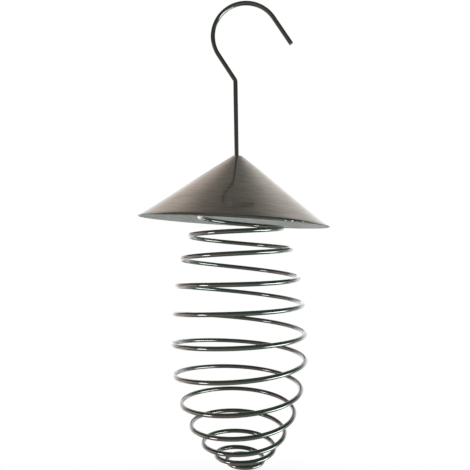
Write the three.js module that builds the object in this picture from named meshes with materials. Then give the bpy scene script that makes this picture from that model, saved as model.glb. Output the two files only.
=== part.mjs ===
// Hanging suet feeder. A bent wire hanger carries a sheet cone, which keeps the rain off,
// and one tapering spring of wire, which holds the fat balls. Millimetres, +Z up, and the
// side towards -Y faces the viewer. The origin is where the feeder hangs: the inside of the
// crown of the hook.
import * as THREE from 'three';

// Driving dimensions: the wire and the room between pieces that touch
const wireDiameter = 3.4;
const clearance = 0.3;

// Driving dimensions: the hanger, to the centre line of its wire
const hookRadius = 25.8;
const hookAside = 6.5; // the hook's centre stands this far to the right of the spring's axis
const hookTipAngle = 34.2; // degrees above level, where the round ends and the tip runs straight
const hookTipLength = 24.7;
const shankAngle = 56.8; // degrees below level
const shankLength = 24.3; // down to the corner that the neck rounds off
const neckRadius = 4.7;
const rodLean = 0.93; // degrees off upright, the top to the left
const rodLength = 57.3;

// Driving dimensions: the eyes at the foot of the hanger and at the top of the spring
const eyeRadius = 5;
const eyeBendRadius = 3;
const eyeSweep = 265; // degrees of round, before the cut end runs straight

// Driving dimensions: the roof
const roofRadius = 73.8;
const roofRise = 51;
const roofSheet = 0.8;
const roofHoleDiameter = 6;
const crownFlatRadius = 3.6; // where the flat round the hole would meet the cone
const crownBendRadius = 1.6;
const roofTilt = 3.4; // degrees: the loose cone settles with its right side low
const roofTip = 1.7; // degrees, with its front low

// Driving dimensions: the spring, to the centre line of its wire
const bellyRadius = 51.2;
const upperReach = 121; // height of the barrel above its widest turn
const lowerReach = 87.2; // height of the barrel below it
const topDrop = 32.7; // from the crown of the roof down to the barrel's upper pole
const bottomAside = 5.1; // the last turns wander this far to the right
const stemLength = 5;

// Degrees by which each whole turn slopes down to the right, and tips down to the front
const turnTilts = [2.8, 4.9, 0.7, 1.2, 2, 1.9, 1.5, 0, -0.9, -0.8, -1, -0.5, 2.3, 4.4];
const turnTips = [2.5, 3.9, 2.4, 0.1, 0, -1.3, -1.2, -0.1, 1.4, 3.5, 3.3, 1.3, 0.6, 3.7];

// Shares that shape the barrel: exponents of its two ovals, and the height of each whole
// turn as a share of the barrel, from the upper pole to the lower one
const upperFullnessShare = 2.34;
const lowerFullnessShare = 1.805;
const turnHeightShares = [
  0.012, 0.0483, 0.1094, 0.1846, 0.2877, 0.3853, 0.4957,
  0.5982, 0.7098, 0.7973, 0.8744, 0.9311, 0.9717, 0.9822,
];
const arrivalShares = [0.9, 0.75]; // pull of the curve from the top turn in to the stem

// Counts
const firstTurn = -2; // the tables of turns begin here; turn 0 is the first one in full sight
const endTurn = 10.75; // where the wire is cut
const roofSegments = 72;
const hangerSides = 12;
const springSides = 6;
const turnSteps = 24;
const bendSteps = 4;

const radians = THREE.MathUtils.degToRad;
const wireRadius = wireDiameter / 2;
const turnDegrees = 360;
const upright = new THREE.Vector3(0, 0, 1);

// A route that a wire follows: it visits its stations one by one, and between two straight
// runs its section stands on the line that halves the bend.
class WireRoute extends THREE.Curve {
  constructor(stations) {
    super();
    this.stations = stations;
  }

  stationAt(share) {
    return Math.round(share * (this.stations.length - 1));
  }

  getPoint(share, target = new THREE.Vector3()) {
    return target.copy(this.stations[this.stationAt(share)]);
  }

  getTangent(share, target = new THREE.Vector3()) {
    const at = this.stationAt(share);
    const run = (from) => {
      const start = this.stations[from];
      const end = this.stations[from + 1];
      return start && end ? end.clone().sub(start).normalize() : new THREE.Vector3();
    };
    return target.copy(run(at - 1)).add(run(at)).normalize();
  }

  getUtoTmapping(share) {
    return share;
  }
}

// A round wire as a tube of flat sides. The corners stand out far enough for the section to
// hold as much steel as the round one.
function wireAlong(stations, sides) {
  const step = (2 * Math.PI) / sides;
  const cornerRadius = wireRadius * Math.sqrt(step / Math.sin(step));
  const corners = Array.from({ length: sides }, (_, side) => new THREE.Vector2(
    cornerRadius * Math.cos(side * step),
    cornerRadius * Math.sin(side * step),
  ));
  return new THREE.ExtrudeGeometry(new THREE.Shape(corners), {
    steps: stations.length - 1,
    bevelEnabled: false,
    extrudePath: new WireRoute(stations),
  });
}

// Points on an arc in a plane, from one angle to another in degrees
function arcPoints(centre, radius, fromAngle, toAngle, steps) {
  return Array.from({ length: steps + 1 }, (_, step) => {
    const angle = radians(fromAngle + ((toAngle - fromAngle) * step) / steps);
    return new THREE.Vector2(
      centre.x + radius * Math.cos(angle),
      centre.y + radius * Math.sin(angle),
    );
  });
}

// An eye bent at the end of a straight wire, in the plane of the eye, with its centre at
// zero. The wire comes down the y axis, bends off to one side and runs round until it nearly
// meets itself again, and its cut end runs straight for one diameter.
const eyeBendAngle = THREE.MathUtils.radToDeg(Math.acos(eyeBendRadius / (eyeBendRadius + eyeRadius)));
const eyeNeckHeight = (eyeBendRadius + eyeRadius) * Math.sin(radians(eyeBendAngle));

function eyePoints() {
  const bendCentre = new THREE.Vector2(-eyeBendRadius, eyeNeckHeight);
  const startAngle = turnDegrees / 2 - eyeBendAngle;
  const bend = arcPoints(bendCentre, eyeBendRadius, 0, -eyeBendAngle, bendSteps);
  const round = arcPoints(new THREE.Vector2(), eyeRadius, startAngle, startAngle + eyeSweep, turnSteps);
  const endAngle = radians(startAngle + eyeSweep);
  const heading = new THREE.Vector2(-Math.sin(endAngle), Math.cos(endAngle));
  const cutEnd = round.at(-1).clone().addScaledVector(heading, wireDiameter);
  return [...bend, ...round.slice(1), cutEnd];
}

// Heights down the hanger, from the crown of the hook to the foot of the eye
const hookCentre = new THREE.Vector2(hookAside, wireRadius - hookRadius);
const shankTurn = turnDegrees / 4 - shankAngle;
const shankLeaves = turnDegrees / 2 + shankTurn;
const shankTop = arcPoints(hookCentre, hookRadius, shankLeaves, shankLeaves, 1)[0];
const neckCorner = new THREE.Vector2(
  shankTop.x + shankLength * Math.cos(radians(shankAngle)),
  shankTop.y - shankLength * Math.sin(radians(shankAngle)),
);
const rodHeading = new THREE.Vector2(Math.sin(radians(rodLean)), -Math.cos(radians(rodLean)));
const neckReach = neckRadius * Math.tan(radians((shankTurn - rodLean) / 2));
const rodTop = neckCorner.clone().addScaledVector(rodHeading, neckReach);
const rodFoot = rodTop.clone().addScaledVector(rodHeading, rodLength);
const hangerEyeHeight = rodFoot.y - eyeNeckHeight;
const crownHeight = rodFoot.y;

// One bent wire: the tip, the round of the hook, the shank, the neck, the rod and the eye
function buildHanger() {
  const tipStart = radians(hookTipAngle);
  const tipHeading = new THREE.Vector2(Math.sin(tipStart), -Math.cos(tipStart));
  const round = arcPoints(hookCentre, hookRadius, hookTipAngle, shankLeaves, turnSteps);
  const tip = round[0].clone().addScaledVector(tipHeading, hookTipLength);
  const towardsNeckCentre = new THREE.Vector2(rodHeading.y, -rodHeading.x);
  const neckCentre = rodTop.clone().addScaledVector(towardsNeckCentre, neckRadius);
  const neck = arcPoints(neckCentre, neckRadius, shankTurn, rodLean, bendSteps);
  const eyeCentre = new THREE.Vector2(rodFoot.x, hangerEyeHeight);
  const eye = eyePoints().map((point) => point.add(eyeCentre));
  const outline = [tip, ...round, ...neck, ...eye];
  const stations = outline.map((point) => new THREE.Vector3(point.x, 0, point.y));
  return wireAlong(stations, hangerSides);
}

// The sheet cone: flat round the hole, bent over into the slope, and cut square at the rim.
// Its height is measured down from the top of the crown.
function buildRoof() {
  const slope = Math.atan2(roofRise, roofRadius - crownFlatRadius);
  const bendReach = crownBendRadius * Math.tan(slope / 2);
  const bendCentre = new THREE.Vector2(crownFlatRadius - bendReach, -crownBendRadius);
  const bendEnd = turnDegrees / 4 - THREE.MathUtils.radToDeg(slope);
  const skin = (depth) => [
    new THREE.Vector2(roofHoleDiameter / 2, -depth),
    ...arcPoints(bendCentre, crownBendRadius - depth, turnDegrees / 4, bendEnd, bendSteps),
    new THREE.Vector2(roofRadius - depth * Math.sin(slope), -roofRise - depth * Math.cos(slope)),
  ];
  const outer = skin(0);
  const profile = [...skin(roofSheet), ...outer.reverse()];
  const cone = new THREE.LatheGeometry([...profile, profile[0]], roofSegments);
  return cone.rotateX(Math.PI / 2);
}

// The barrel that the spring is wound on, by height below its upper pole
const barrelHeight = upperReach + lowerReach;

function barrelRadius(depth) {
  const upper = depth < upperReach;
  const fullness = upper ? upperFullnessShare : lowerFullnessShare;
  const reach = (upper ? upperReach - depth : depth - upperReach) / (upper ? upperReach : lowerReach);
  return bellyRadius * (1 - Math.min(reach, 1) ** fullness) ** (1 / fullness);
}

// A value at any turn, smooth through a table that holds one for each whole turn
function atTurn(table, turn) {
  const last = table.length - 2;
  const lower = THREE.MathUtils.clamp(Math.floor(turn - firstTurn), 0, last);
  const along = turn - firstTurn - lower;
  const entry = (at) => table[THREE.MathUtils.clamp(at, 0, last + 1)];
  const [before, start, end, after] = [-1, 0, 1, 2].map((shift) => entry(lower + shift));
  const leave = (end - before) / 2;
  const arrive = (after - start) / 2;
  return THREE.MathUtils.lerp(start, end, along * along * (3 - 2 * along))
    + along * (1 - along) * ((1 - along) * leave - along * arrive);
}

// A point of the spring. Seen from above it winds clockwise on its way down, and its first
// whole turn starts at the right.
const upperPole = crownHeight - topDrop;

function springPoint(turn) {
  const depth = barrelHeight * atTurn(turnHeightShares, turn);
  const radius = barrelRadius(depth);
  const angle = turn * 2 * Math.PI;
  const downShare = (turn - firstTurn) / (endTurn - firstTurn);
  const tilt = radians(atTurn(turnTilts, turn));
  const tip = radians(atTurn(turnTips, turn));
  const across = radius * Math.cos(angle);
  const back = -radius * Math.sin(angle);
  return new THREE.Vector3(
    across + bottomAside * downShare ** 3,
    back,
    upperPole - depth - across * Math.tan(tilt) + back * Math.tan(tip),
  );
}

// One wire from the eye on the axis, down the stem, out into the turns and round to its end
const hingeHeight = hangerEyeHeight - eyeRadius + wireDiameter + clearance;

function springStations() {
  const eyeCentre = hingeHeight - eyeRadius;
  const eye = eyePoints().reverse().map((point) => new THREE.Vector3(
    rodFoot.x,
    point.x,
    eyeCentre - point.y,
  ));
  const stemFoot = eye.at(-1).clone().addScaledVector(upright, -stemLength);
  const topPoint = springPoint(firstTurn);
  const topRadius = barrelRadius(barrelHeight * turnHeightShares[0]);
  const outward = springPoint(firstTurn + 1 / turnSteps).sub(topPoint).normalize();
  const arrival = new THREE.CubicBezierCurve3(
    stemFoot,
    stemFoot.clone().addScaledVector(upright, -arrivalShares[1] * (stemFoot.z - topPoint.z)),
    topPoint.clone().addScaledVector(outward, -arrivalShares[0] * topRadius),
    topPoint,
  );
  const steps = Math.floor((endTurn - firstTurn) * turnSteps);
  const turns = Array.from({ length: steps }, (_, step) => springPoint(firstTurn + (step + 1) / turnSteps));
  const heading = turns.at(-1).clone().sub(turns.at(-2)).normalize();
  const cutEnd = turns.at(-1).clone().addScaledVector(heading, wireDiameter);
  return [...eye, ...arrival.getPoints(turnSteps / 2), ...turns, cutEnd];
}

// The length of the spring's wire and its least gap to itself, measured on its stations
function measureSpring(stations) {
  let leastGap = Infinity;
  const lengths = [0];
  for (let at = 1; at < stations.length; at += 1) {
    lengths.push(lengths[at - 1] + stations[at].distanceTo(stations[at - 1]));
  }
  const apart = 4 * wireDiameter;
  for (let one = 0; one < stations.length - 1; one += 1) {
    const run = new THREE.Line3(stations[one], stations[one + 1]);
    for (let other = 0; other < stations.length; other += 1) {
      if (lengths[other] < lengths[one] - apart || lengths[other] > lengths[one + 1] + apart) {
        const nearest = run.closestPointToPoint(stations[other], true, new THREE.Vector3());
        leastGap = Math.min(leastGap, nearest.distanceTo(stations[other]) - wireDiameter);
      }
    }
  }
  console.log(`spring wire ${lengths.at(-1).toFixed(0)} mm long, least gap to itself ${leastGap.toFixed(2)} mm`);
}

const enamelColour = 0x23302a;
const sheetColour = 0x4a4c46;

function enamel(colour) {
  return new THREE.MeshStandardMaterial({ color: colour, roughness: 0.22, metalness: 0.3 });
}

// The spring's axis is the model's own; the whole feeder is then set so that the crown of
// the hook is at zero
const feeder = new THREE.Group();
feeder.position.x = -hookAside;

const hanger = new THREE.Mesh(buildHanger(), enamel(enamelColour));
hanger.name = 'hanger';
feeder.add(hanger);

const roofSeat = new THREE.Group();
roofSeat.position.z = crownHeight;
roofSeat.rotation.set(radians(roofTip), radians(roofTilt), 0);
const roof = new THREE.Mesh(buildRoof(), enamel(sheetColour));
roof.name = 'roof';
roofSeat.add(roof);
feeder.add(roofSeat);

const stations = springStations();
measureSpring(stations);
const coil = new THREE.Mesh(wireAlong(stations, springSides), enamel(enamelColour));
coil.name = 'coil';
feeder.add(coil);

export default feeder;
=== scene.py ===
# %% [markdown]
# A hanging suet feeder, as a lesson in cells
#
# The feeder is two bent wires and one sheet cone. A hanger with a round hook goes over a branch, the
# cone slides on its rod and keeps the rain off, and a tapering spring under the cone holds the fat
# balls. The working model with its joints is loaded first and stays as it is. Everything here is
# dressed around it, in metres, in the same frame: the hook hangs from zero, +Z is up, and the side
# towards -Y faces the camera.

# %% The working model
import math

import bpy
from mathutils import Euler, Matrix, Vector


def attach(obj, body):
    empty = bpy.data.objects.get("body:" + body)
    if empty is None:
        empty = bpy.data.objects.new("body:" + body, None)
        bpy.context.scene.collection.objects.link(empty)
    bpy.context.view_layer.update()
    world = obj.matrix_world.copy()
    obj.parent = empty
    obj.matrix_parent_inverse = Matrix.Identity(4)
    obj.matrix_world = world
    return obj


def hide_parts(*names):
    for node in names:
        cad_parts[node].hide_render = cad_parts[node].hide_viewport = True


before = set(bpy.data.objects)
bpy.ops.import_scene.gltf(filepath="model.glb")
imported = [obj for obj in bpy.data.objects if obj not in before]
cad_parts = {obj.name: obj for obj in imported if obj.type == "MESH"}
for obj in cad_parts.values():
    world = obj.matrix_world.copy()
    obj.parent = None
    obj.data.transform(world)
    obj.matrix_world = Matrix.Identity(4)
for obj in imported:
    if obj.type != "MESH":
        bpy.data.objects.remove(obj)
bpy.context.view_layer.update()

MM = 0.001

# %% [markdown]
# The camera comes first, because every later choice is judged through it. The photograph was taken
# from close by: the lower turns of the spring are seen from above and the roof from just below, so
# the eye is level with the upper turns. A level camera with a little shift frames the whole feeder
# and keeps upright lines upright. Where it stands follows from where the rod, the hook and the
# horizon lie in the picture, in pixels, and from what a pixel measures in the plane of the rod.

# %% The camera
IMAGE_SIDE = 470
PIXEL = 0.7775 * MM
EYE_DISTANCE_PIXELS = 500
AXIS_COLUMN = 237.7
HOOK_CENTRE_ROW = 36.3
HORIZON_ROW = 259
SENSOR_WIDTH = 36

WIRE_DIAMETER = 3.4 * MM
WIRE_RADIUS = WIRE_DIAMETER / 2
HOOK_RADIUS = 25.8 * MM
HOOK_ASIDE = 6.5 * MM
AXIS_X = -HOOK_ASIDE
HOOK_CENTRE_Z = WIRE_RADIUS - HOOK_RADIUS

camera_data = bpy.data.cameras.new("camera")
camera = bpy.data.objects.new("camera", camera_data)
bpy.context.scene.collection.objects.link(camera)
bpy.context.scene.camera = camera
camera_data.sensor_width = SENSOR_WIDTH
camera_data.lens = SENSOR_WIDTH * EYE_DISTANCE_PIXELS / IMAGE_SIDE
camera_data.shift_y = (HORIZON_ROW - IMAGE_SIDE / 2) / IMAGE_SIDE
camera.location = (
    AXIS_X + (IMAGE_SIDE / 2 - AXIS_COLUMN) * PIXEL,
    -EYE_DISTANCE_PIXELS * PIXEL,
    HOOK_CENTRE_Z - (HORIZON_ROW - HOOK_CENTRE_ROW) * PIXEL,
)
camera.rotation_euler = (math.radians(90), 0, 0)
print("camera", [round(value, 3) for value in camera.location], "lens", round(camera_data.lens, 1))

# %% [markdown]
# Small helpers. An operator acts on all that is selected, so each piece starts from a clean
# selection, and edges are picked in code by where they lie.

# %% Helpers for modelling
def start_clean():
    if bpy.context.object and bpy.context.object.mode != "OBJECT":
        bpy.ops.object.mode_set(mode="OBJECT")
    bpy.ops.object.select_all(action="DESELECT")


def make_active(piece):
    start_clean()
    piece.select_set(True)
    bpy.context.view_layer.objects.active = piece


def pick_edges(piece, wanted):
    """Selects the edges that wanted() says, and leaves the piece in edit mode."""
    make_active(piece)
    mesh = piece.data
    for items in (mesh.vertices, mesh.edges, mesh.polygons):
        items.foreach_set("select", [False] * len(items))
    for edge in mesh.edges:
        edge.select = wanted(edge)
    bpy.ops.object.mode_set(mode="EDIT")
    bpy.ops.mesh.select_mode(type="EDGE")


def report(piece):
    triangles = sum(len(face.vertices) - 2 for face in piece.data.polygons)
    print(f"{piece.name}: {triangles} triangles")


# %% [markdown]
# Both wires follow a route of points that is worked out from the same sizes as the working model, so
# they lie exactly in its place. The wire itself could be a circle extruded again and again, but a
# curve with a round bevel does the same in one go and never twists. It is turned into a mesh, points
# that lie closer than a hair are merged, and the rims of its two cut ends are rounded a little, as
# enamel does on a sawn end. Those ends are easy to find: they are the only faces with more than four
# corners.

# %% A round wire along a route
HAIR = 0.01 * MM
WIRE_BEVEL = 8
CUT_ROUNDING = 0.35 * MM
CUT_SEGMENTS = 3
WIRE_SMOOTH_ANGLE = math.radians(50)


def tube_along(name, route):
    """A mesh tube of the wire's thickness through these points."""
    start_clean()
    bpy.ops.curve.primitive_bezier_curve_add()
    piece = bpy.context.object
    piece.name = piece.data.name = name
    curve = piece.data
    curve.splines.clear()
    spline = curve.splines.new("POLY")
    spline.points.add(len(route) - 1)
    for point, place in zip(spline.points, route):
        point.co = (*place, 1)
    curve.dimensions = "3D"
    curve.bevel_depth = WIRE_RADIUS
    curve.bevel_resolution = WIRE_BEVEL
    curve.use_fill_caps = True
    bpy.ops.object.convert(target="MESH")
    return bpy.context.object


def wire_along(name, route):
    """One wire of the feeder along these points, as a closed mesh with rounded cut ends."""
    piece = tube_along(name, route)
    bpy.ops.object.mode_set(mode="EDIT")
    bpy.ops.mesh.select_all(action="SELECT")
    bpy.ops.mesh.remove_doubles(threshold=HAIR)
    bpy.ops.mesh.normals_make_consistent(inside=False)
    bpy.ops.object.mode_set(mode="OBJECT")
    cut_ends = [face for face in piece.data.polygons if len(face.vertices) > 4]
    cut_edges = {key for face in cut_ends for key in face.edge_keys}
    pick_edges(piece, lambda edge: edge.key in cut_edges)
    bpy.ops.mesh.bevel(offset=CUT_ROUNDING, segments=CUT_SEGMENTS, affect="EDGES")
    bpy.ops.object.mode_set(mode="OBJECT")
    bpy.ops.object.shade_smooth_by_angle(angle=WIRE_SMOOTH_ANGLE)
    report(piece)
    return piece


# %% [markdown]
# Both wires end in an eye. The wire leaves its own axis with a small bend, runs round and stops just
# before it meets itself, which leaves the gap that a bent eye always has. All bends are arcs, so one
# helper gives the points of any of them. The eye is worked out once, around zero and with its neck
# up, and each wire turns it to its own side.

# %% The eye at the end of a wire
EYE_RADIUS = 5 * MM
EYE_BEND_RADIUS = 3 * MM
EYE_SWEEP = 265
BEND_STEPS = 16
ROUND_STEPS = 64
EYE_BEND_ANGLE = math.degrees(math.acos(EYE_BEND_RADIUS / (EYE_BEND_RADIUS + EYE_RADIUS)))
EYE_NECK_HEIGHT = (EYE_BEND_RADIUS + EYE_RADIUS) * math.sin(math.radians(EYE_BEND_ANGLE))


def arc(centre, radius, from_angle, to_angle, steps):
    """Points on an arc in a plane, from one angle to another in degrees."""
    sweep = to_angle - from_angle
    angles = [math.radians(from_angle + sweep * step / steps) for step in range(steps + 1)]
    return [Vector((centre[0] + radius * math.cos(a), centre[1] + radius * math.sin(a))) for a in angles]


def eye_points():
    """The wire's middle line through the bend and the eye, with a straight bit at its cut end."""
    start = 180 - EYE_BEND_ANGLE
    bend = arc((-EYE_BEND_RADIUS, EYE_NECK_HEIGHT), EYE_BEND_RADIUS, 0, -EYE_BEND_ANGLE, BEND_STEPS)
    turn = arc((0, 0), EYE_RADIUS, start, start + EYE_SWEEP, ROUND_STEPS)
    end = math.radians(start + EYE_SWEEP)
    cut_end = turn[-1] + Vector((-math.sin(end), math.cos(end))) * WIRE_DIAMETER
    return bend + turn[1:] + [cut_end]


print("eye: bend of", round(EYE_BEND_ANGLE, 1), "degrees, neck", round(EYE_NECK_HEIGHT / MM, 1), "mm up")

# %% [markdown]
# The hanger is one bent wire: a straight tip, the round of the hook, a straight shank that leans in
# under it, a tight neck bend, the upright rod and the eye under the roof. Each bend touches the
# straights beside it, so a few angles and lengths place them all, and a straight run needs only its
# two ends.

# %% The hanger
HOOK_TIP_ANGLE = 34.2
HOOK_TIP_LENGTH = 24.7 * MM
SHANK_ANGLE = math.radians(56.8)
SHANK_LENGTH = 24.3 * MM
NECK_RADIUS = 4.7 * MM
ROD_LEAN = math.radians(0.93)
ROD_LENGTH = 57.3 * MM

SHANK_TURN = math.radians(90) - SHANK_ANGLE
SHANK_LEAVES = 180 + math.degrees(SHANK_TURN)
SHANK_TOP = arc((HOOK_ASIDE, HOOK_CENTRE_Z), HOOK_RADIUS, SHANK_LEAVES, SHANK_LEAVES, 1)[0]
NECK_CORNER = SHANK_TOP + Vector((math.cos(SHANK_ANGLE), -math.sin(SHANK_ANGLE))) * SHANK_LENGTH
ROD_HEADING = Vector((math.sin(ROD_LEAN), -math.cos(ROD_LEAN)))
ROD_TOP = NECK_CORNER + ROD_HEADING * NECK_RADIUS * math.tan((SHANK_TURN - ROD_LEAN) / 2)
ROD_FOOT = ROD_TOP + ROD_HEADING * ROD_LENGTH
CROWN_Z = ROD_FOOT.y
HANGER_EYE_Z = CROWN_Z - EYE_NECK_HEIGHT


def hanger_route():
    """The wire's middle line, from the tip of the hook to the cut end of the eye."""
    tip_angle = math.radians(HOOK_TIP_ANGLE)
    hook = arc((HOOK_ASIDE, HOOK_CENTRE_Z), HOOK_RADIUS, HOOK_TIP_ANGLE, SHANK_LEAVES, ROUND_STEPS)
    tip = hook[0] + Vector((math.sin(tip_angle), -math.cos(tip_angle))) * HOOK_TIP_LENGTH
    neck_centre = ROD_TOP + Vector((ROD_HEADING.y, -ROD_HEADING.x)) * NECK_RADIUS
    neck = arc(neck_centre, NECK_RADIUS, math.degrees(SHANK_TURN), math.degrees(ROD_LEAN), BEND_STEPS)
    eye_centre = Vector((ROD_FOOT.x, HANGER_EYE_Z))
    eye = [point + eye_centre for point in eye_points()]
    return [Vector((AXIS_X + point.x, 0, point.y)) for point in [tip, *hook, *neck, *eye]]


hanger = wire_along("hanger_wire", hanger_route())

# %% [markdown]
# The spring is one wire wound on a barrel. The barrel's outline is two half ovals that meet at the
# widest turn, and their fullness says how square their shoulders are. A Screw modifier could wind an
# even spring, but this one was pulled open by hand, so no two turns lie alike. Three short tables
# follow it instead, with one value for each whole turn: how far down the barrel it lies, how many
# degrees its right side hangs lower, and how many degrees its back stands higher. Everything between
# two whole turns comes from a smooth curve.

# %% The barrel and the tables of the turns
BELLY_RADIUS = 51.2 * MM
UPPER_REACH = 121 * MM
LOWER_REACH = 87.2 * MM
UPPER_FULLNESS = 2.34
LOWER_FULLNESS = 1.805
BARREL_HEIGHT = UPPER_REACH + LOWER_REACH
FIRST_TURN = -2
END_TURN = 10.75
TURN_HEIGHT_SHARES = (
    0.012, 0.0483, 0.1094, 0.1846, 0.2877, 0.3853, 0.4957,
    0.5982, 0.7098, 0.7973, 0.8744, 0.9311, 0.9717, 0.9822,
)
TURN_TILTS = (2.8, 4.9, 0.7, 1.2, 2, 1.9, 1.5, 0, -0.9, -0.8, -1, -0.5, 2.3, 4.4)
TURN_TIPS = (2.5, 3.9, 2.4, 0.1, 0, -1.3, -1.2, -0.1, 1.4, 3.5, 3.3, 1.3, 0.6, 3.7)


def barrel_radius(depth):
    """Radius of the barrel at this depth below its top."""
    if depth < UPPER_REACH:
        reach, fullness = (UPPER_REACH - depth) / UPPER_REACH, UPPER_FULLNESS
    else:
        reach, fullness = (depth - UPPER_REACH) / LOWER_REACH, LOWER_FULLNESS
    return BELLY_RADIUS * (1 - min(reach, 1) ** fullness) ** (1 / fullness)


def at_turn(table, turn):
    """A smooth value at any turn, out of a table with one value for each whole turn."""
    last = len(table) - 2
    lower = min(max(math.floor(turn - FIRST_TURN), 0), last)
    along = turn - FIRST_TURN - lower
    before, start, end, after = [table[min(max(lower + shift, 0), last + 1)] for shift in (-1, 0, 1, 2)]
    leave, arrive = (end - before) / 2, (after - start) / 2
    eased = start + (end - start) * along * along * (3 - 2 * along)
    return eased + along * (1 - along) * ((1 - along) * leave - along * arrive)


print("barrel:", round(BARREL_HEIGHT / MM, 1), "mm high, radius", round(BELLY_RADIUS / MM, 1), "mm")

# %% [markdown]
# The wire of the spring starts in an eye that hangs in the hanger's eye, at right angles to it. A
# short stem leads down from there, a soft curve takes it out to the barrel, and it winds from turn -2
# under the roof to its cut end below. The lowest turns have drifted a little to the right.

# %% The spring
TOP_DROP = 32.7 * MM
BOTTOM_ASIDE = 5.1 * MM
STEM_LENGTH = 5 * MM
CLEARANCE = 0.3 * MM
ARRIVAL_DROP = 0.75
ARRIVAL_SWEEP = 0.9
TURN_STEPS = 96
ARRIVAL_STEPS = 48
UPPER_POLE = CROWN_Z - TOP_DROP
HINGE_Z = HANGER_EYE_Z - EYE_RADIUS + WIRE_DIAMETER + CLEARANCE


def spring_point(turn):
    """The wire's middle at this turn. At a whole turn it lies at the right of the spring."""
    depth = BARREL_HEIGHT * at_turn(TURN_HEIGHT_SHARES, turn)
    radius = barrel_radius(depth)
    angle = turn * 2 * math.pi
    down = (turn - FIRST_TURN) / (END_TURN - FIRST_TURN)
    tilt = math.radians(at_turn(TURN_TILTS, turn))
    tip = math.radians(at_turn(TURN_TIPS, turn))
    across, back = radius * math.cos(angle), -radius * math.sin(angle)
    return Vector((
        AXIS_X + across + BOTTOM_ASIDE * down ** 3,
        back,
        UPPER_POLE - depth - across * math.tan(tilt) + back * math.tan(tip),
    ))


def bezier(points, steps):
    """Points on the cubic curve with these four handles."""
    a, b, c, d = points
    curve = []
    for step in range(steps + 1):
        t = step / steps
        curve.append(a * (1 - t) ** 3 + b * 3 * t * (1 - t) ** 2 + c * 3 * t * t * (1 - t) + d * t ** 3)
    return curve


def spring_route():
    """The wire's middle line, from the eye down the stem and round all the turns to the cut end."""
    eye_z = HINGE_Z - EYE_RADIUS
    eye_x = AXIS_X + ROD_FOOT.x
    eye = [Vector((eye_x, point.x, eye_z - point.y)) for point in reversed(eye_points())]
    stem_foot = eye[-1] - Vector((0, 0, STEM_LENGTH))
    top = spring_point(FIRST_TURN)
    top_radius = barrel_radius(BARREL_HEIGHT * TURN_HEIGHT_SHARES[0])
    outward = (spring_point(FIRST_TURN + 1 / TURN_STEPS) - top).normalized()
    arrival = bezier((
        stem_foot,
        stem_foot - Vector((0, 0, ARRIVAL_DROP * (stem_foot.z - top.z))),
        top - outward * ARRIVAL_SWEEP * top_radius,
        top,
    ), ARRIVAL_STEPS)
    steps = math.floor((END_TURN - FIRST_TURN) * TURN_STEPS)
    turns = [spring_point(FIRST_TURN + (step + 1) / TURN_STEPS) for step in range(steps)]
    cut_end = turns[-1] + (turns[-1] - turns[-2]).normalized() * WIRE_DIAMETER
    return eye + arrival + turns + [cut_end]


coil = wire_along("spring_wire", spring_route())

# %% [markdown]
# The roof is a cone of thin sheet, spun from a disc. It starts as a circle the size of the hole,
# which is extruded and scaled outwards ring by ring: over the flat crown, round its soft bend and
# down the slope. A cone primitive would give the slope alone, with a sharp point instead of the
# crown. It is modelled upright, and its place on the wire, with its right side low as it rests in the
# photograph, is worked out here for later. Solidify is added but not yet applied, because it can give
# the underside and the cut edges finishes of their own, once those are there.

# %% The roof
ROOF_RADIUS = 73.8 * MM
ROOF_RISE = 51 * MM
ROOF_SHEET = 0.8 * MM
ROOF_HOLE_RADIUS = 3 * MM
CROWN_FLAT_RADIUS = 3.6 * MM
CROWN_BEND_RADIUS = 1.6 * MM
ROOF_TILT = 3.4
ROOF_TIP = 1.7
ROOF_SEGMENTS = 192
SLOPE_RINGS = 24
OUTER_SKIN, UNDERSIDE, CUT_EDGE = 0, 1, 2
SLOPE = math.atan2(ROOF_RISE, ROOF_RADIUS - CROWN_FLAT_RADIUS)
ROOF_TURN = Euler((math.radians(ROOF_TIP), math.radians(ROOF_TILT), 0))
ROOF_PLACE = Matrix.LocRotScale(Vector((AXIS_X, 0, CROWN_Z)), ROOF_TURN, None)


def roof_rings():
    """Radius and height of each ring of the outer skin, from the hole to the rim."""
    bend_x = CROWN_FLAT_RADIUS - CROWN_BEND_RADIUS * math.tan(SLOPE / 2)
    bend = arc((bend_x, -CROWN_BEND_RADIUS), CROWN_BEND_RADIUS, 90, 90 - math.degrees(SLOPE), BEND_STEPS)
    rim = Vector((ROOF_RADIUS, -ROOF_RISE))
    slope = [bend[-1].lerp(rim, (ring + 1) / SLOPE_RINGS) for ring in range(SLOPE_RINGS)]
    return [Vector((ROOF_HOLE_RADIUS, 0)), *bend, *slope]


def build_roof():
    start_clean()
    rings = roof_rings()
    bpy.ops.mesh.primitive_circle_add(vertices=ROOF_SEGMENTS, radius=rings[0].x, fill_type="NOTHING")
    roof = bpy.context.object
    roof.name = roof.data.name = "roof_sheet"
    bpy.ops.object.mode_set(mode="EDIT")
    for ring, following in zip(rings, rings[1:]):
        bpy.ops.mesh.extrude_edges_move()
        share = following.x / ring.x
        bpy.ops.transform.resize(value=(share, share, 1))
        bpy.ops.transform.translate(value=(0, 0, following.y - ring.y))
    bpy.ops.mesh.select_all(action="SELECT")
    bpy.ops.mesh.normals_make_consistent(inside=False)
    bpy.ops.object.mode_set(mode="OBJECT")
    if roof.data.polygons[-1].normal.z < 0:
        roof.data.flip_normals()
    wall = roof.modifiers.new("sheet", "SOLIDIFY")
    wall.thickness = ROOF_SHEET
    wall.offset = -1
    wall.use_even_offset = True
    wall.material_offset = UNDERSIDE
    wall.material_offset_rim = CUT_EDGE
    return roof


roof = build_roof()
print("roof: slope of", round(math.degrees(SLOPE), 1), "degrees,", len(roof.data.polygons), "faces")

# %% [markdown]
# Shader sums are easier to read as sums. This class wraps one socket of a node tree, so that
# `1 - mask * 0.5` adds the Math nodes by itself, and every other node comes from one method.

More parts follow.
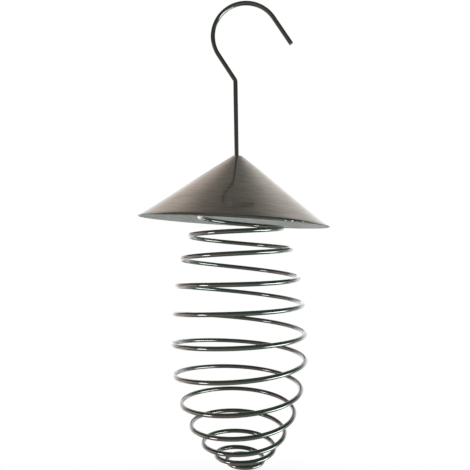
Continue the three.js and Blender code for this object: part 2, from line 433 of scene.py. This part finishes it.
# %% Shader maths
RELIEF = 0.05 * MM


class Socket:
    def __init__(self, tree, output):
        self.tree = tree
        self.output = output

    def node(self, kind, settings=(), inputs=(), output=0):
        """Any node: its settings are set, its sockets get values or links, and one output comes back."""
        made = self.tree.nodes.new(kind)
        for name, value in dict(settings).items():
            setattr(made, name, value)
        for key, value in dict(inputs).items():
            if isinstance(value, Socket):
                self.tree.links.new(value.output, made.inputs[key])
            else:
                made.inputs[key].default_value = value
        return Socket(self.tree, made.outputs[output])

    def maths(self, operation, first, second=0.0):
        return self.node("ShaderNodeMath", {"operation": operation}, {0: first, 1: second})

    def __add__(self, other):
        return self.maths("ADD", self, other)

    def __radd__(self, other):
        return self.maths("ADD", other, self)

    def __sub__(self, other):
        return self.maths("SUBTRACT", self, other)

    def __rsub__(self, other):
        return self.maths("SUBTRACT", other, self)

    def __mul__(self, other):
        return self.maths("MULTIPLY", self, other)

    def __rmul__(self, other):
        return self.maths("MULTIPLY", other, self)

    def __truediv__(self, other):
        return self.maths("DIVIDE", self, other)

    def root(self):
        return self.maths("SQRT", self)

    def size(self):
        return self.maths("ABSOLUTE", self)

    def at_least(self, other):
        return self.maths("MAXIMUM", self, other)

    def between(self, low, high):
        """0 below low, 1 above high, and smooth in between. With low over high it falls."""
        span = {"interpolation_type": "SMOOTHSTEP"}
        return self.node("ShaderNodeMapRange", span, {0: self, 1: low, 2: high})

    def noise(self, scale, detail):
        """A cloudy pattern from 0 to 1, with about this many clouds to a metre."""
        return self.node("ShaderNodeTexNoise", {}, {"Vector": self, "Scale": scale, "Detail": detail})

    def distance(self, point):
        """How far this place is from one point of the piece."""
        settings = {"operation": "DISTANCE"}
        return self.node("ShaderNodeVectorMath", settings, {0: self, 1: point}, output=1)

    def bump(self, strength):
        """This height as the normal of a very shallow relief."""
        heights = {"Height": self, "Strength": strength, "Distance": RELIEF}
        return self.node("ShaderNodeBump", {}, heights)

    def mix(self, first, second):
        """From the first colour to the second as this mask goes from 0 to 1."""
        settings = {"data_type": "RGBA"}
        return self.node("ShaderNodeMix", settings, {0: self, 6: first, 7: second}, output=2)

    def parts(self):
        return [self.node("ShaderNodeSeparateXYZ", {}, {0: self}, output=axis) for axis in range(3)]


def coordinates(tree, kind):
    """Texture coordinates of this kind, as the Socket that the sums start from."""
    return Socket(tree, tree.nodes.new("ShaderNodeTexCoord").outputs[kind])


def new_material(name):
    """A material with a Principled shader, and its object coordinates as a Socket."""
    material = bpy.data.materials.new(name)
    material.use_nodes = True
    tree = material.node_tree
    return material, tree.nodes["Principled BSDF"], coordinates(tree, "Object")


def feed(node, **inputs):
    """Sets or links a node's sockets; Base_Color stands for Base Color."""
    for name, value in inputs.items():
        socket = node.inputs[name.replace("_", " ")]
        if isinstance(value, Socket):
            value.tree.links.new(value.output, socket)
        else:
            socket.default_value = value


# %% [markdown]
# The wire is dipped in a very dark green enamel that looks black where nothing is mirrored in it.
# A plain dark colour would look like plastic. Here it drifts between green and brown, with small pale
# specks, and the dip leaves slow waves that bend the highlights a little. The gloss is high, so the
# waves are kept very shallow. A clear coat makes the spring mirror more brightly. The hook and the
# rod read drier in the photograph, so the coat fades out above the spring, where the roof hides it.

# %% Enamel of the wires
DEEP_GREEN = (0.008, 0.028, 0.018, 1)
BROWN = (0.022, 0.018, 0.014, 1)
PALE_SPECK = (0.13, 0.14, 0.125, 1)
ENAMEL_IOR = 1.7
COAT = 0.6
COAT_ENDS_Z = -0.11
COAT_FULL_Z = -0.16


def wire_enamel():
    material, shader, place = new_material("dark_green_enamel")
    drift = place.noise(55, 3).between(0.42, 0.6)
    cloud = place.noise(14, 2).between(0.45, 0.6)
    specks = place.noise(750, 1).between(0.77, 0.8)
    waves = place.noise(90, 1)
    haze = place.noise(300, 2)
    height = place.parts()[2]
    feed(
        shader,
        Base_Color=specks.mix((drift * 0.45 + cloud * 0.35).mix(DEEP_GREEN, BROWN), PALE_SPECK),
        Roughness=0.08 + haze * 0.06,
        Normal=waves.bump(0.05),
        IOR=ENAMEL_IOR,
        Coat_Weight=height.between(COAT_ENDS_Z, COAT_FULL_Z) * COAT,
        Coat_Roughness=0.04,
    )
    return material


wire_finish = wire_enamel()
for wire in (hanger, coil):
    wire.data.materials.clear()
    wire.data.materials.append(wire_finish)
print("wires:", wire_finish.name, "with", len(wire_finish.node_tree.nodes), "nodes")

# %% [markdown]
# The roof has a metallic enamel, sprayed thinly over brushed sheet, in a dark olive brown that
# mirrors the room softly. The brushed streaks run round the cone. Anisotropy alone would smear the
# mirror image that way, but these streaks show in the colour and the gloss as well. They are a noise
# that is read by the direction from the axis and by the distance from it, with the distance scaled up
# far more, so it changes quickly down the slope and slowly round it.

# %% Enamel of the roof
DARK_OLIVE = (0.161, 0.155, 0.136, 1)
LIGHT_OLIVE = (0.245, 0.227, 0.198, 1)
STREAKS_ROUND = 4
STREAKS_DOWN = 720


def roof_enamel():
    material, shader, place = new_material("olive_enamel")
    x, y = place.parts()[:2]
    across = x - AXIS_X
    radius = (across * across + y * y).root()
    turned = {
        "X": across / radius * STREAKS_ROUND,
        "Y": y / radius * STREAKS_ROUND,
        "Z": radius * STREAKS_DOWN,
    }
    streaks = place.node("ShaderNodeCombineXYZ", {}, turned).noise(1, 3)
    patch = place.noise(30, 3).between(0.35, 0.7)
    grain = place.noise(700, 1)
    tone = patch * 0.35 + streaks.between(0.35, 0.65) * 0.65
    feed(
        shader,
        Base_Color=tone.mix(DARK_OLIVE, LIGHT_OLIVE),
        Metallic=0.74 + patch * 0.06,
        Roughness=0.06 + streaks * 0.1,
        Normal=(streaks + grain * 0.3).bump(0.05),
    )
    return material


roof.data.materials.append(roof_enamel())
print("roof, outside:", roof.data.materials[OUTER_SKIN].name)

# %% [markdown]
# The underside is left in pale primer, which is dull and a little rough. The cut edges are painted
# nearly black, a painted shade for the edge of the sheet, which lies in shadow, and along the rim the
# enamel has chipped down to the bright sheet in a few spots. Each chip is a small round mask about a
# point of the rim, so a chip can sit exactly where it is seen.

# %% Primer and edges of the roof
DARK_PRIMER = (0.26, 0.28, 0.26, 1)
PALE_PRIMER = (0.34, 0.36, 0.34, 1)
# Painted shade: the cut edges are painted nearly black for the shadow that lies on the edge of the
# sheet.
EDGE_PAINTED_SHADE = (0.02, 0.021, 0.018, 1)
BARE_SHEET = (0.5, 0.49, 0.47, 1)
CHIP_CORE = 0.6
RIM_CHIPS = (
    (-62.5, 0.5 * MM), (-58.4, 0.9 * MM), (-50.7, 0.5 * MM),
    (31, 0.7 * MM), (140, 0.5 * MM), (146, 0.8 * MM),
)


def rim_place(angle):
    """A point on the rim of the settled roof, at this angle from the right in degrees."""
    turned = math.radians(angle)
    upright = Vector((ROOF_RADIUS * math.cos(turned), ROOF_RADIUS * math.sin(turned), -ROOF_RISE))
    return ROOF_PLACE @ upright


def roof_primer():
    material, shader, place = new_material("pale_primer")
    patch = place.noise(45, 3).between(0.3, 0.7)
    grain = place.noise(900, 2)
    haze = place.noise(200, 2)
    feed(
        shader,
        Base_Color=patch.mix(DARK_PRIMER, PALE_PRIMER),
        Roughness=0.45 + haze * 0.1,
        Normal=grain.bump(0.2),
    )
    return material


def edge_shade_and_chips():
    material, shader, place = new_material("painted_edge_shade_and_chips")
    chips = 0
    for angle, reach in RIM_CHIPS:
        away = place.distance(rim_place(angle))
        chips = away.between(reach, CHIP_CORE * reach) + chips
    patch = place.noise(60, 2)
    feed(
        shader,
        # Painted shade all along the cut edges, with real chips of bare sheet at the rim.
        Base_Color=chips.mix(EDGE_PAINTED_SHADE, BARE_SHEET),
        Metallic=chips * 0.8,
        Roughness=0.3 + patch * 0.15,
    )
    return material


roof.data.materials.append(roof_primer())
roof.data.materials.append(edge_shade_and_chips())
print("roof, underside and cut edges:", [finish.name for finish in roof.data.materials[UNDERSIDE:]])

# %% [markdown]
# Now the sheet gets its thickness. Solidify makes it the same all over, and takes the finishes of the
# underside and of the cut edges from the slots after the first. Cut sheet is never knife sharp once
# it is enamelled, so the edges of the rim and of the hole are rounded. The roof is then settled on
# the wire, and its place is applied to its mesh, as it is in the working model.

# %% Thickness, edges and place of the roof
RIM_ROUNDING = 0.2 * MM
RIM_SEGMENTS = 2
ROOF_SMOOTH_ANGLE = math.radians(35)


def on_cut_edge(edge):
    """True for the round edges of the rim and of the hole."""
    start, end = [roof.data.vertices[index].co for index in edge.vertices]
    level = abs(start.z - end.z) < HAIR
    at_rim = start.xy.length > ROOF_RADIUS - ROOF_SHEET
    at_hole = start.xy.length < ROOF_HOLE_RADIUS + HAIR
    return level and (at_rim or at_hole)


make_active(roof)
bpy.ops.object.modifier_apply(modifier="sheet")
pick_edges(roof, on_cut_edge)
bpy.ops.mesh.bevel(offset=RIM_ROUNDING, segments=RIM_SEGMENTS, affect="EDGES", material=CUT_EDGE)
bpy.ops.object.mode_set(mode="OBJECT")
roof.matrix_world = ROOF_PLACE
make_active(roof)
bpy.ops.object.transform_apply(location=True, rotation=True, scale=True)
bpy.ops.object.shade_smooth_by_angle(angle=ROOF_SMOOTH_ANGLE)
report(roof)

# %% [markdown]
# Each new piece stands for the working part of the same shape: it hides it and rides on its body, and
# the slot that it takes its finish from is printed. The roof can then slide up the rod, and the
# spring can swing in the hanger's eye, with nothing more to do here.

# %% Pieces and their bodies
for piece, node, body, slot in (
    (hanger, "hanger", "hanger", "enamelled_wire"),
    (coil, "coil", "coil", "enamelled_wire"),
    (roof, "roof", "roof", "enamelled_sheet"),
):
    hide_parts(node)
    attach(piece, body)
    print(piece.name, "rides on", body, "in", slot)

# %% [markdown]
# Gloss shows the room and not its own colour, so most of the wires' look is the studio's. Walls and
# cards could be modelled, but a mirror only asks what lies in a direction. So the room is painted on
# the world with masks: x is to the right, y is away from the camera and z is up, each from -1 to 1,
# and to_back is 1 straight behind the feeder and -1 at the camera, on the level.
#
# Behind the feeder stands a lit backdrop, with a brighter band along the horizon and a pale table top
# low down at both sides. They draw the pale lines and the white edges on the turns of the spring. A
# narrow dark gap straight behind keeps the turns dark between those lines, where they run across the
# picture.

# %% What the gloss mirrors behind the feeder
BAND_LIGHT = 1.8
TABLE_LIGHT = 1.7
GAP_SHADE = 0.85


def mirrored_backdrop(z, to_back, right_half):
    """The sheet behind: lit at mid height, dim at the top and a little brighter on the right."""
    within_sides = to_back.between(0.64, 0.82)
    evenness = 0.88 + right_half * 0.18
    below_top = z.between(0.99, 0.68)
    low_glow = z.between(0.65, 0.1) * (0.4 - right_half * 0.12)
    above_foot = z.between(-0.05, 0.15)
    return within_sides * evenness * (0.15 + below_top + low_glow) * above_foot


def mirrored_band(x, z, to_back, behind):
    """A bright strip along the horizon. Behind, it reaches lower and is weaker in the middle."""
    below_top = z.between(0.3, 0.16)
    above_foot = z.between(-0.5, -0.3) * behind + z.between(-0.15, 0.0) * (1 - behind)
    not_in_front = to_back.between(-0.45, 0.0)
    weaker_middle = to_back.between(0.75, 0.97) * x.between(-0.3, -0.05)
    return below_top * above_foot * not_in_front * (BAND_LIGHT - weaker_middle)


def mirrored_table(z, to_back):
    """A pale table top, low down at both sides of the middle."""
    height = z.between(-0.85, -0.55) * z.between(-0.27, -0.4)
    return height * to_back.between(0.3, 0.5) * to_back.between(0.98, 0.88) * TABLE_LIGHT


def mirrored_gap(z, to_back):
    """A narrow gap straight behind, below the top and clear of the horizon."""
    return to_back.between(0.978, 0.99) * z.between(0.83, 0.76) * z.size().between(0.2, 0.31)


# %% [markdown]
# The rest of the room is dim: a grey front around the camera, a grey ceiling and a floor that is
# paler on the camera's side. One small white card stands low at the right and draws the short glints
# there. Where two things overlap, the brighter one shows. The light is a little warm, at its warmest
# low at the left, a little green low at the right, and plain white low down behind.

# %% The whole mirrored room
NEVER_BLACK = 0.03
FRONT_LIGHT = 0.35
CEILING_LIGHT = 0.3
CARD_LIGHT = 17
WHITE = (1, 1, 1, 1)
WARM_LOW = (1.35, 0.94, 0.86, 1)
WARM_HIGH = (1.11, 0.97, 0.9, 1)
GREEN_LOW = (0.88, 1.04, 0.92, 1)
PLAIN_HIGH = (1.04, 1, 0.97, 1)


def mirrored_room(direction):
    """How bright the room is in a direction, and its tint there."""
    x, y, z = direction.parts()
    level = (x * x + y * y).root().at_least(0.01)
    to_back, to_right = y / level, x / level
    right_half = x.between(-0.35, 0.35)
    behind = to_back.between(0.5, 0.75)

    light = mirrored_backdrop(z, to_back, right_half)
    light = light.at_least(mirrored_band(x, z, to_back, behind)).at_least(mirrored_table(z, to_back))
    light = light * (1 - mirrored_gap(z, to_back) * GAP_SHADE)
    front = to_back.between(-0.2, -0.7) * z.between(0.7, 0.3) * FRONT_LIGHT
    ceiling = to_back.between(0.6, 0.2) * z.between(0.45, 0.9) * CEILING_LIGHT
    floor = z.between(0.0, -0.2) * (0.25 + to_back.between(0.2, -0.4) * 0.5)
    card_width = to_right.between(0.62, 0.85) * to_back.between(0.2, -0.1)
    card = card_width * z.between(-0.1, -0.25) * z.between(-0.65, -0.45) * CARD_LIGHT
    for other in (front, ceiling, floor, card):
        light = light.at_least(other)

    low_tint = behind.mix(right_half.mix(WARM_LOW, GREEN_LOW), WHITE)
    high_tint = right_half.mix(WARM_HIGH, PLAIN_HIGH)
    tint = z.between(0.4, 0.5).mix(low_tint, high_tint)
    return NEVER_BLACK + light, tint


# %% [markdown]
# The world gives each kind of ray its own answer. Rays from the camera see plain white, glossy rays
# see the mirrored room, and all others get an even white light at the level where a colour renders
# about as it is written. One painted room for all rays would make the background grey.

# %% The world
PLAIN_LIGHT = 0.4


def white_world():
    world = bpy.data.worlds.new("studio")
    bpy.context.scene.world = world
    world.use_nodes = True
    direction = coordinates(world.node_tree, "Generated")
    camera_ray = direction.node("ShaderNodeLightPath", output="Is Camera Ray")
    glossy_ray = direction.node("ShaderNodeLightPath", output="Is Glossy Ray")
    light, tint = mirrored_room(direction)
    strength = glossy_ray * light + (1 - glossy_ray) * PLAIN_LIGHT
    strength = camera_ray + (1 - camera_ray) * strength
    feed(world.node_tree.nodes["Background"], Strength=strength, Color=glossy_ray.mix(WHITE, tint))
    return world


world = white_world()
print("world:", len(world.node_tree.nodes), "nodes")

# %% [markdown]
# The floor lies well below the hanging feeder and takes its shadow. A plain white plane would show
# grey against the white world. So about half of its white near the feeder is a glow of its own, and
# further out all of it, and no line shows where the floor ends. The gloss doesn't mirror it, because
# the mirrored room has a floor of its own. The glow is masked by the square of the distance from the
# middle, in square metres, which saves a root.

# %% The floor
FLOOR_Z = -0.62
FLOOR_HALF = 6.0
PALE_GREY = (0.9, 0.9, 0.9, 1)
OWN_GLOW = 0.55
GLOW_STARTS = 0.12
GLOW_FULL = 0.5


def pale_floor():
    start_clean()
    bpy.ops.mesh.primitive_plane_add(size=2 * FLOOR_HALF, location=(0, 0, FLOOR_Z))
    floor = bpy.context.object
    floor.name = "floor"
    material = bpy.data.materials.new("white_floor")
    material.use_nodes = True
    place = coordinates(material.node_tree, "Object")
    x, y = place.parts()[:2]
    distance_squared = x * x + y * y
    glow_share = OWN_GLOW + distance_squared.between(GLOW_STARTS, GLOW_FULL) * (1 - OWN_GLOW)
    paint = place.node("ShaderNodeBsdfDiffuse", {}, {"Color": PALE_GREY})
    glow = place.node("ShaderNodeEmission", {}, {"Color": WHITE, "Strength": 1.0})
    surface = place.node("ShaderNodeMixShader", {}, {0: glow_share, 1: paint, 2: glow})
    feed(material.node_tree.nodes["Material Output"], Surface=surface)
    floor.data.materials.append(material)
    floor.visible_glossy = False


pale_floor()
print("floor:", round(-FLOOR_Z, 2), "m below the inside of the hook")

# %% [markdown]
# Five oval softboxes finish the studio. Two give the object its form, from overhead and from behind
# at the right, and aren't mirrored. The other three are there for their mirror images: left front for
# the spring and the roof, left side for the spring, and low at the right for the hanger. On a real
# set, a black card would keep each lamp off the other pieces. Light linking does the same: a lamp
# with a list of pieces lights those alone.

# %% The lamps
MIDDLE = (AXIS_X, 0, -0.2)
HOOK = (0, 0, -0.02)
MIRRORED_LAMPS = (
    ("left_front", (-0.69, -0.4, -0.4), MIDDLE, (0.25, 0.32), 3, (coil, roof)),
    ("left_side", (-0.81, 0.0, -0.5), MIDDLE, (0.55, 0.4), 0.6, (coil,)),
    ("right_low", (0.53, 0.15, -0.57), HOOK, (0.32, 0.32), 4, (hanger,)),
)
PLAIN_LAMPS = (
    ("overhead", (-0.2, -0.3, 1.2), MIDDLE, (0.7, 0.7), 2.6),
    ("right_behind", (0.5, 0.9, 0.25), MIDDLE, (0.7, 0.7), 4.5),
)


def softbox(name, place, target, size, watts):
    data = bpy.data.lights.new(name, "AREA")
    data.shape = "ELLIPSE"
    data.size, data.size_y = size
    data.energy = watts
    lamp = bpy.data.objects.new(name, data)
    bpy.context.scene.collection.objects.link(lamp)
    lamp.location = place
    lamp.rotation_euler = (Vector(target) - Vector(place)).to_track_quat("-Z", "Y").to_euler()
    return lamp


for name, place, target, size, watts, lit_pieces in MIRRORED_LAMPS:
    lamp = softbox(name, place, target, size, watts)
    lit = bpy.data.collections.new("lit_by_" + lamp.name)
    for piece in lit_pieces:
        lit.objects.link(piece)
    lamp.light_linking.receiver_collection = lit
    print(lamp.name, "lights", [piece.name for piece in lit_pieces])
for name, place, target, size, watts in PLAIN_LAMPS:
    lamp = softbox(name, place, target, size, watts)
    lamp.visible_glossy = False
    print(lamp.name, "lights everything and isn't mirrored")

# %% [markdown]
# Last, the view transform is the plain one, so colours come out as they are written.

# %% The view transform
bpy.context.scene.view_settings.view_transform = "Standard"
